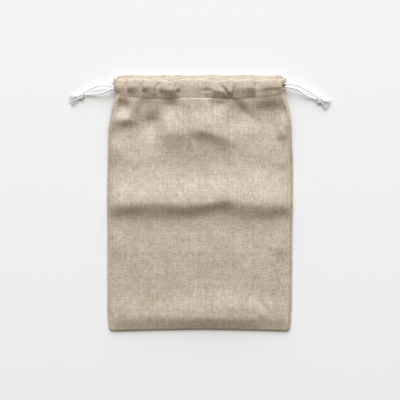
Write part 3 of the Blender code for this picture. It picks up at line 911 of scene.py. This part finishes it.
CORD_DIAMETER = 0.0028
CORD_RADIUS = 0.5 * CORD_DIAMETER
CORD_SIDES = 24
CORD_STEP = 0.00035
BRAID_YARNS = 4
BRAID_LENGTH = 0.0027
BRAID_DEPTH = 0.12
YARN_ROUND = 0.7
YARN_END = 0.55
YARN_RISE = 0.45

# The drawstrings' routes, through the middle of the cord: from the knot in by the front
# of the casing, round the far side of the mouth, and back out by the back of the casing
LEFT_ROUTE = (
    # x, y, z
    (-0.1874, 0.1776, 0.0054),
    (-0.1814, 0.1819, 0.0058),
    (-0.1727, 0.1856, 0.007),
    (-0.1624, 0.1886, 0.0088),
    (-0.1536, 0.1891, 0.0105),
    (-0.1446, 0.1883, 0.0119),
    (-0.1394, 0.1878, 0.0125),
    (-0.1354, 0.1876, 0.0132),
    (-0.1304, 0.1872, 0.014),
    (-0.118, 0.1862, 0.0142),
    (-0.095, 0.1854, 0.0142),
    (0.0, 0.1852, 0.0142),
    (0.11, 0.1848, 0.0142),
    (0.126, 0.1838, 0.0142),
    (0.1299, 0.1836, 0.01415),
    (0.1339, 0.1835, 0.0125),
    (0.1356, 0.1835, 0.0085),
    (0.1339, 0.1835, 0.0045),
    (0.1299, 0.1838, 0.00285),
    (0.124, 0.1849, 0.0028),
    (0.105, 0.1874, 0.0028),
    (0.0, 0.1884, 0.0028),
    (-0.105, 0.1866, 0.0028),
    (-0.124, 0.1846, 0.0028),
    (-0.1311, 0.1843, 0.00285),
    (-0.1351, 0.1842, 0.0047),
    (-0.1367, 0.1842, 0.0084),
    (-0.1379, 0.1842, 0.0112),
    (-0.1409, 0.1837, 0.0129),
    (-0.1452, 0.1819, 0.0126),
    (-0.1498, 0.1796, 0.011),
    (-0.1562, 0.1771, 0.0084),
    (-0.1684, 0.1754, 0.005),
    (-0.18, 0.1753, 0.0037),
    (-0.1872, 0.1742, 0.0038),
)
RIGHT_ROUTE = (
    # x, y, z
    (0.1886, 0.1712, 0.0056),
    (0.1822, 0.1762, 0.0059),
    (0.1734, 0.1814, 0.0068),
    (0.1641, 0.1863, 0.0082),
    (0.1546, 0.1898, 0.0098),
    (0.1455, 0.1913, 0.0113),
    (0.1377, 0.1915, 0.0127),
    (0.1338, 0.1914, 0.0134),
    (0.1288, 0.1911, 0.0141),
    (0.116, 0.1906, 0.0142),
    (0.095, 0.1902, 0.0142),
    (0.0, 0.19, 0.0142),
    (-0.108, 0.1906, 0.0142),
    (-0.126, 0.1923, 0.0142),
    (-0.1312, 0.1924, 0.01415),
    (-0.1352, 0.1924, 0.0125),
    (-0.1369, 0.1924, 0.0085),
    (-0.1352, 0.1924, 0.0045),
    (-0.1312, 0.1924, 0.00285),
    (-0.124, 0.1924, 0.0028),
    (-0.105, 0.1932, 0.0028),
    (0.0, 0.1936, 0.0028),
    (0.105, 0.192, 0.0028),
    (0.122, 0.1888, 0.0028),
    (0.1299, 0.187, 0.00285),
    (0.1339, 0.1868, 0.0045),
    (0.1356, 0.1868, 0.0084),
    (0.1366, 0.1868, 0.0112),
    (0.1396, 0.1864, 0.0129),
    (0.1444, 0.1856, 0.0129),
    (0.1496, 0.1846, 0.0118),
    (0.1558, 0.1826, 0.0098),
    (0.1642, 0.1775, 0.0066),
    (0.1734, 0.1722, 0.0045),
    (0.1819, 0.1694, 0.0037),
    (0.1882, 0.1673, 0.0038),
)
# The rows of both routes at which the cord passes in and out of its slit, and the share of
# the way to the knot's middle that each end runs on
EXITS = (7, 26)
KNOT_REACH = 0.6

# The knots: the middle of each, the way that the doubled cord runs on through it, and
# where its two tails end
LEFT_KNOT = {
    "middle": (-0.1918, 0.1728, 0.0034),
    "heading": 205.0,
    "tails": ((-0.2124, 0.1703, 0.0016), (-0.2089, 0.1596, 0.0015)),
}
RIGHT_KNOT = {
    "middle": (0.1931, 0.1658, 0.0034),
    "heading": -38.0,
    "tails": ((0.2116, 0.1624, 0.0016), (0.2060, 0.1526, 0.0015)),
}
KNOT_SPREAD = 0.00105
KNOT_HEIGHT = 0.00145
KNOT_SQUEEZE = 0.84
KNOT_STEPS = 110
STRAND_SPACING = 0.0023

# The tails: how soon they come down to the table, and how their bare cord narrows
TAIL_STEPS = 40
TAIL_DROP = 1.4
BARE_SHARE = 0.5
NARROWING = 0.45
NARROWING_START = -1.4

# Their loose fibres: lengths, thickness, how far they fan out, and how they waver
FRAY_START = 0.28
FIBRES = 84
FIBRE_REACHES = (0.8, 1.12)
FIBRE_RADIUS = 0.0001
FIBRE_ROOT = 1.25
FIBRE_TAPER = 0.8
FIBRE_REST = 1.5
ROOT_SPREAD = 0.75
FIBRE_SPREAD = 0.0056
FIBRE_FAN = 1.3
FIBRE_WAVER = 0.0005
FIBRE_BEND = 2.5
FIBRE_LIFT = 0.0003
FIBRE_SIDES = 5
FIBRE_STEPS = 9
FIBRE_SEED = 5

# The finishes of spun thread. fuzz_range is the range of the fuzz that its tones are spread
# over, tint is each channel's share of a tone, and bump is in metres.
COTTON = {
    "roughness": 0.75, "specular": 0.25,
    "fuzz_scale": 3800.0, "fuzz_detail": 3.0, "fuzz_range": (0.0, 1.0),
    "tint": (0.98, 0.99, 1.0), "bump_strength": 0.5, "bump": 0.0001,
}
SEWING_THREAD = {
    "roughness": 0.6, "specular": 0.4,
    "fuzz_scale": 5000.0, "fuzz_detail": 2.0, "fuzz_range": (0.3, 0.7),
    "tint": (1.0, 0.94, 0.83), "bump_strength": 0.4, "bump": 0.00005,
}
CORD_TONES = (0.9, 0.97)
# The knots' loops have the cords' cotton made darker: painted shade for the knot's own shade
KNOT_PAINTED_SHADE_TONES = (0.7, 0.84)
STITCH_TONES = (0.5, 0.63)


# -------- the drawstrings

def smooth_route(route, step):
    """Points a step apart on a smooth curve through the route's own points, and where among
    them each of the route's points is."""
    points = [Vector(row) for row in route]
    points = [2 * points[0] - points[1]] + points + [2 * points[-1] - points[-2]]
    smooth = []
    places = []
    for before, start, end, after in zip(points, points[1:], points[2:], points[3:]):
        spans = [(b - a).length ** 0.5 for a, b in ((before, start), (start, end), (end, after))]
        start_pull = (start - before) / spans[0] - (end - before) / (spans[0] + spans[1])
        start_pull = (start_pull + (end - start) / spans[1]) * spans[1]
        end_pull = (end - start) / spans[1] - (after - start) / (spans[1] + spans[2])
        end_pull = (end_pull + (after - end) / spans[2]) * spans[1]
        steps = max(2, round((end - start).length / step))
        places.append(len(smooth))
        for number in range(steps):
            t = number / steps
            near_end = 3 * t ** 2 - 2 * t ** 3
            smooth.append((1 - near_end) * start + near_end * end
                          + (t ** 3 - 2 * t ** 2 + t) * start_pull + (t ** 3 - t ** 2) * end_pull)
    places.append(len(smooth))
    return np.array([*smooth, points[-2]]), places


def carried_frames(points):
    """Two directions across a path at each of its points, turned as little as can be."""
    ahead = np.gradient(points, axis=0)
    ahead /= np.linalg.norm(ahead, axis=1)[:, None]
    side = np.cross(ahead[0], (0.0, 0.0, 1.0))
    sides = []
    for direction in ahead:
        side = side - direction * side.dot(direction)
        side = side / np.linalg.norm(side)
        sides.append(side)
    sides = np.array(sides)
    return sides, np.cross(sides, ahead)


def braid_relief(turn, along):
    """How far a round braid of yarns stands out, from 0 to 1, at a turn round the cord and a
    distance along it."""
    one_way = BRAID_YARNS * turn / (2.0 * pi) + along / BRAID_LENGTH
    other_way = BRAID_YARNS * turn / (2.0 * pi) - along / BRAID_LENGTH
    on_top = (np.floor(one_way) + np.floor(other_way)) % 2 == 0
    across = np.sin(pi * np.where(on_top, one_way % 1.0, other_way % 1.0))
    lengthways = np.sin(pi * np.where(on_top, other_way % 1.0, one_way % 1.0))
    return across ** YARN_ROUND * (YARN_END + YARN_RISE * lengthways)


def tube_rings(points, radius, sides, relief=None):
    """Rings of points round a path. radius is one number, or one for each point."""
    across, up = carried_frames(points)
    turns = 2.0 * pi * np.arange(sides) / sides
    radii = np.broadcast_to(np.asarray(radius, dtype=float), len(points))[:, None]
    radii = np.repeat(radii, sides, axis=1)
    if relief is not None:
        radii = radii * (1.0 - BRAID_DEPTH + BRAID_DEPTH * relief(turns[None, :],
                                                                  along_path(points)[:, None]))
    round_it = (np.cos(turns)[None, :, None] * across[:, None, :]
                + np.sin(turns)[None, :, None] * up[:, None, :])
    return points[:, None, :] + radii[:, :, None] * round_it


def tube_faces(count, sides, first=0):
    """The faces between the rings of one tube, and its two end faces."""
    faces = []
    for ring_number in range(count - 1):
        for side in range(sides):
            after = (side + 1) % sides
            low = first + ring_number * sides
            faces.append((low + side, low + after, low + sides + after, low + sides + side))
    faces.append(tuple(first + side for side in range(sides))[::-1])
    faces.append(tuple(first + (count - 1) * sides + side for side in range(sides)))
    return faces


def tubes_object(name, tubes, material):
    """One object of several tubes, each an array of rings."""
    points = []
    faces = []
    for rings in tubes:
        count, sides, _ = rings.shape
        faces += tube_faces(count, sides, first=sum(len(part) for part in points))
        points.append(rings.reshape(-1, 3))
    mesh = bpy.data.meshes.new(name)
    mesh.from_pydata(np.concatenate(points), [], faces)
    for polygon in mesh.polygons:
        polygon.use_smooth = len(polygon.vertices) == 4
    mesh.materials.append(material)
    return add_object(name, mesh)


def into_knot(route, middle):
    """The route with both its ends carried on a share of the way to the knot's middle."""
    ends = [Vector(route[end]).lerp(Vector(middle), KNOT_REACH) for end in (0, -1)]
    return (tuple(ends[0]), *route, tuple(ends[1]))


def build_drawstring(name, route, knot, material):
    """One drawstring in three pieces that meet inside the casing: its front strand and its
    back strand, each from its exit to the knot, and the run hidden in the casing."""
    points, places = smooth_route(into_knot(route, knot["middle"]), CORD_STEP)
    rings = tube_rings(points, CORD_RADIUS, CORD_SIDES, braid_relief)
    way_in, way_out = (places[row + 1] for row in EXITS)
    parts = {
        "front": (points[:way_in + 1][::-1], rings[:way_in + 1]),
        "hidden": (points[way_in:way_out + 1], rings[way_in:way_out + 1]),
        "back": (points[way_out:], rings[way_out:]),
    }
    return {part: (path, tubes_object(f"{name}_{part}", [part_rings], material))
            for part, (path, part_rings) in parts.items()}


def knot_path(knot):
    """The middle of the doubled cord through a pulled overhand knot, which is a trefoil: in
    along its heading, round its three lobes, and out the other side."""
    heading = radians(knot["heading"])
    t = pi + 2.0 * pi * np.linspace(0.0, 1.0, KNOT_STEPS)
    x = KNOT_SPREAD * (np.sin(t) + 2.0 * np.sin(2.0 * t))
    y = KNOT_SPREAD * (np.cos(t) - 2.0 * np.cos(2.0 * t))
    z = -KNOT_HEIGHT * np.sin(3.0 * t)
    turned = np.stack([x * cos(heading) - y * sin(heading),
                       x * sin(heading) + y * cos(heading), z], axis=1)
    return turned + np.array(knot["middle"])


def beside(points, distance):
    """A path that runs beside another at a distance, level with it."""
    ahead = np.gradient(points, axis=0)
    level = np.stack([ahead[:, 1], -ahead[:, 0]], axis=1)
    level /= np.linalg.norm(level, axis=1)[:, None]
    return points + np.column_stack([level * distance, np.zeros(len(points))])


def tail_path(knot, end):
    """The middle of one tail, from inside the knot to its end on the table."""
    start, end = np.array(knot["middle"]), np.array(end)
    share = np.linspace(0.0, 1.0, TAIL_STEPS)
    points = start + (end - start) * share[:, None]
    points[:, 2] = start[2] + (end[2] - start[2]) * ease(TAIL_DROP * share)
    return points


def fibres_of(path, generator):
    """The loose fibres at the end of one tail, fanned out and bent down to the table."""
    across, up = carried_frames(path)
    first = int(FRAY_START * len(path))
    share = np.linspace(0.0, 1.0, FIBRE_STEPS)
    radii = FIBRE_RADIUS * (FIBRE_ROOT - FIBRE_TAPER * share)
    spread = CORD_RADIUS * ROOT_SPREAD + FIBRE_SPREAD * share ** FIBRE_FAN
    tubes = []
    for _ in range(FIBRES):
        turn = 2.0 * pi * generator.random()
        place = generator.random() ** 0.5
        reach = generator.uniform(*FIBRE_REACHES)
        waver = generator.normal(0.0, 1.0, 2)
        on_path = first + (len(path) - 1 - first) * np.minimum(share * reach, 1.0)
        low = np.clip(on_path.astype(int), 0, len(path) - 2)
        base = path[low] + (path[low + 1] - path[low]) * (on_path - low)[:, None]
        overshoot = np.maximum(share * reach - 1.0, 0.0)[:, None] * (path[-1] - path[first])
        sideways = (place * spread * np.cos(turn)
                    + FIBRE_WAVER * waver[0] * np.sin(FIBRE_BEND * share))
        upwards = place * np.minimum(spread, CORD_RADIUS) * np.sin(turn)
        points = base + overshoot + sideways[:, None] * across[low] + upwards[:, None] * up[low]
        points[:, 2] = np.maximum(points[:, 2] + FIBRE_LIFT * waver[1] * share,
                                  FIBRE_REST * FIBRE_RADIUS)
        tubes.append(tube_rings(points, radii, FIBRE_SIDES))
    return tubes


def build_knot(name, knot, loop_material_painted_shade, tail_material):
    """One knot of the doubled cord with its two frayed tails, as two pieces."""
    path = knot_path(knot)
    loops = [tube_rings(beside(path, side * 0.5 * STRAND_SPACING), KNOT_SQUEEZE * CORD_RADIUS,
                        CORD_SIDES, braid_relief) for side in (-1.0, 1.0)]
    # The loops are in the darker copy of the cotton, as painted shade
    loop = tubes_object(f"{name}_loop", loops, loop_material_painted_shade)
    generator = np.random.default_rng(FIBRE_SEED)
    tubes = []
    for end in knot["tails"]:
        tail = tail_path(knot, end)
        bare = tail[:int(BARE_SHARE * TAIL_STEPS)]
        narrowing = NARROWING * ease(np.linspace(NARROWING_START, 1.0, len(bare)))
        tubes.append(tube_rings(bare, CORD_RADIUS * (1.0 - narrowing), CORD_SIDES, braid_relief))
        tubes += fibres_of(tail, generator)
    tails = tubes_object(f"{name}_tails", tubes, tail_material)
    return [loop, tails]


def spun_material(name, tones, finish):
    """Cotton or thread with a fine fuzz between two tones. The fuzz is partly its own uneven tone
    and partly painted shade, because the same fuzz makes the bump, so the colour is darker in its
    hollows.
    """
    nodes = Nodes(name, finish["roughness"], finish["specular"])
    fuzz = nodes.noise(nodes.add("TexCoord", "Object"), finish["fuzz_scale"],
                       finish["fuzz_detail"], dimensions="3D")
    # The fuzz sets both the tone and the bump: uneven tone at random, and painted shade where the
    # bump lies low
    tone = nodes.scaled(fuzz, *finish["fuzz_range"], *tones)
    red, green, blue = (nodes.math("MULTIPLY", tone, share) for share in finish["tint"])
    colour = nodes.add("CombineColor", "Color", Red=red, Green=green, Blue=blue)
    return nodes.finish(colour, fuzz, finish["bump_strength"], finish["bump"])


def build_stitches():
    """The rows of stitches that hold the hem and make the casing, on the front and the back."""
    share = np.linspace(-1.0, 1.0, STITCH_RINGS)
    tubes = []
    for back_share, heights in ((0.0, front_height), (1.0, back_height)):
        side = 1.0 - 2.0 * back_share
        for middle in np.arange(*STITCHED, STITCH_PITCH):
            x = middle + 0.5 * STITCH_LENGTH * share
            y = STITCH_Y + row_shift(x, STITCH_Y, back_share)
            z = heights(x, STITCH_Y) + side * (HALF_CLOTH + STITCH_STAND - STITCH_DIP * share ** 4)
            points = np.stack([x, y, z], axis=1) * MM
            tubes.append(tube_rings(points, STITCH_RADIUS * MM, STITCH_SIDES))
    material = spun_material("thread", STITCH_TONES, SEWING_THREAD)
    return tubes_object("casing_stitches", tubes, material)


def add_drawstrings():
    """Both drawstrings with their knots."""
    cotton = spun_material("cotton", CORD_TONES, COTTON)
    # A darker copy of the cotton for the knots' loops, as painted shade
    knot_cotton_painted_shade = spun_material("knot_cotton_painted_shade", KNOT_PAINTED_SHADE_TONES, COTTON)
    for side, route, knot in (("left", LEFT_ROUTE, LEFT_KNOT),
                              ("right", RIGHT_ROUTE, RIGHT_KNOT)):
        parts = build_drawstring(f"drawstring_{side}", route, knot, cotton)
        knots = build_knot(f"knot_{side}", knot, knot_cotton_painted_shade, cotton)
        for _, piece in parts.values():
            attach(piece, "root")
            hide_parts(f"drawstring_{side}")
        for piece in knots:
            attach(piece, "root")
            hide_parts(f"knot_{side}")
        for part in ("front", "back"):
            path, piece = parts[part]


make_camera()
make_light()
make_table()
bag = build_cloth()
stitches = build_stitches()
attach(bag, "root")
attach(stitches, "root")
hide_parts("bag_cloth")
add_drawstrings()
